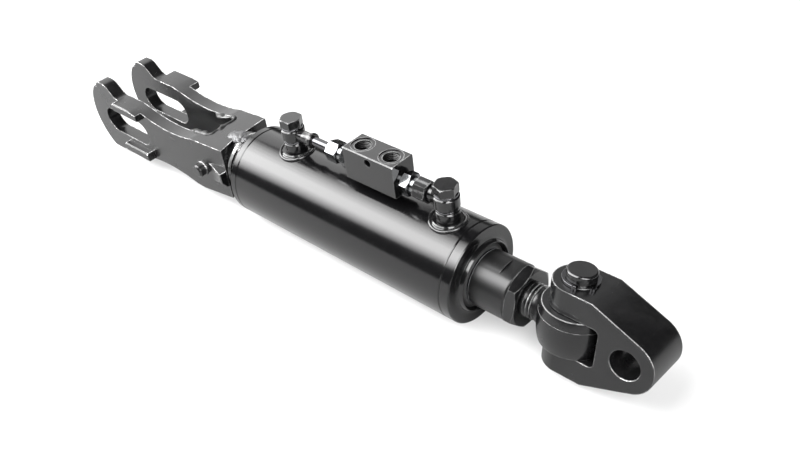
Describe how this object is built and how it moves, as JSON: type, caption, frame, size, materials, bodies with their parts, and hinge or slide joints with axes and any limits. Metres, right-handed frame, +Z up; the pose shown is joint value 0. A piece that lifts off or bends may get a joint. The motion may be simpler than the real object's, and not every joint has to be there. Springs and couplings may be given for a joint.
{
  "type": "hydraulic lower link stabilizer",
  "caption": "Double-acting hydraulic stabilizer cylinder with a slotted fork, a swinging clevis and a piped double check valve along the barrel.",
  "frame": {"origin": "centre of the fork's slot, on the cylinder's axis", "axes": "+X along the cylinder from the fork to the clevis, +Y across the fork, along the pin in its slot, +Z up, towards the valve"},
  "size_m": [0.6275, 0.081, 0.1159],
  "materials": {
    "cast_black": "satin",
    "barrel_black": "gloss",
    "fitting_black": "satin",
    "rod_steel": "gloss",
    "plain_steel": "satin",
    "zinc_plate": "satin",
    "seal_rubber": "matte",
    "guide_band": "matte"
  },
  "bodies": {
    "cylinder": {"fork": "cast_black", "stop_peg": "cast_black", "fork_weld": "cast_black", "end_cap": "barrel_black", "barrel_tube": "barrel_black", "gland_head": "barrel_black", "gland_o_ring": "seal_rubber", "rod_seal": "seal_rubber", "rod_wiper": "seal_rubber", "rod_guide_band": "guide_band", "rear_port_boss": "fitting_black", "front_port_boss": "fitting_black", "rear_spacer_collar": "fitting_black", "front_spacer_collar": "fitting_black", "rear_banjo": "fitting_black", "front_banjo": "fitting_black", "rear_banjo_bolt": "fitting_black", "front_banjo_bolt": "fitting_black", "banjo_washers": "plain_steel", "transfer_pipe": "plain_steel", "pipe_nut": "zinc_plate", "rear_check_adapter": "zinc_plate", "front_check_adapter": "zinc_plate", "front_union_nut": "fitting_black", "valve_block": "fitting_black", "poppet_springs": "plain_steel"},
    "piston_rings": {"piston_seal": "seal_rubber", "piston_wear_bands": "guide_band"},
    "rod": {"rod": "rod_steel", "piston": "plain_steel", "piston_nut": "plain_steel", "lock_nut": "fitting_black", "rod_eye": "cast_black", "eye_bush": "plain_steel"},
    "clevis": {"clevis": "cast_black", "clevis_pin": "fitting_black", "pin_retaining_rings": "plain_steel"},
    "spool": {"pilot_spool": "plain_steel"},
    "front_poppet": {"front_poppet": "plain_steel"},
    "rear_poppet": {"rear_poppet": "plain_steel"}
  },
  "joints": [
    {"name": "rod_slide", "type": "slide", "parent": "cylinder", "child": "piston_rings", "axis": [1, 0, 0], "range_m": [0, 0.1]},
    {"name": "rod_turn", "type": "hinge", "parent": "piston_rings", "child": "rod", "pos_m": [0.3, 0, 0], "axis": [1, 0, 0], "continuous": true},
    {"name": "clevis_swing", "type": "hinge", "parent": "rod", "child": "clevis", "pos_m": [0.5, 0, 0], "axis": [0, 0.1736, 0.9848], "range_deg": [-90, 90]},
    {"name": "spool_shift", "type": "slide", "parent": "cylinder", "child": "spool", "axis": [1, 0, 0], "range_m": [0, 0.0015]},
    {"name": "front_poppet_lift", "type": "slide", "parent": "cylinder", "child": "front_poppet", "axis": [1, 0, 0], "range_m": [0, 0.0015], "stiffness_N_per_m": 1000, "springref_m": -0.001},
    {"name": "rear_poppet_lift", "type": "slide", "parent": "cylinder", "child": "rear_poppet", "axis": [-1, 0, 0], "range_m": [0, 0.0015], "stiffness_N_per_m": 1000, "springref_m": -0.001}
  ],
  "couplings": [
    {"joint": "front_poppet_lift", "follows": "spool_shift", "ratio": 1}
  ]
}
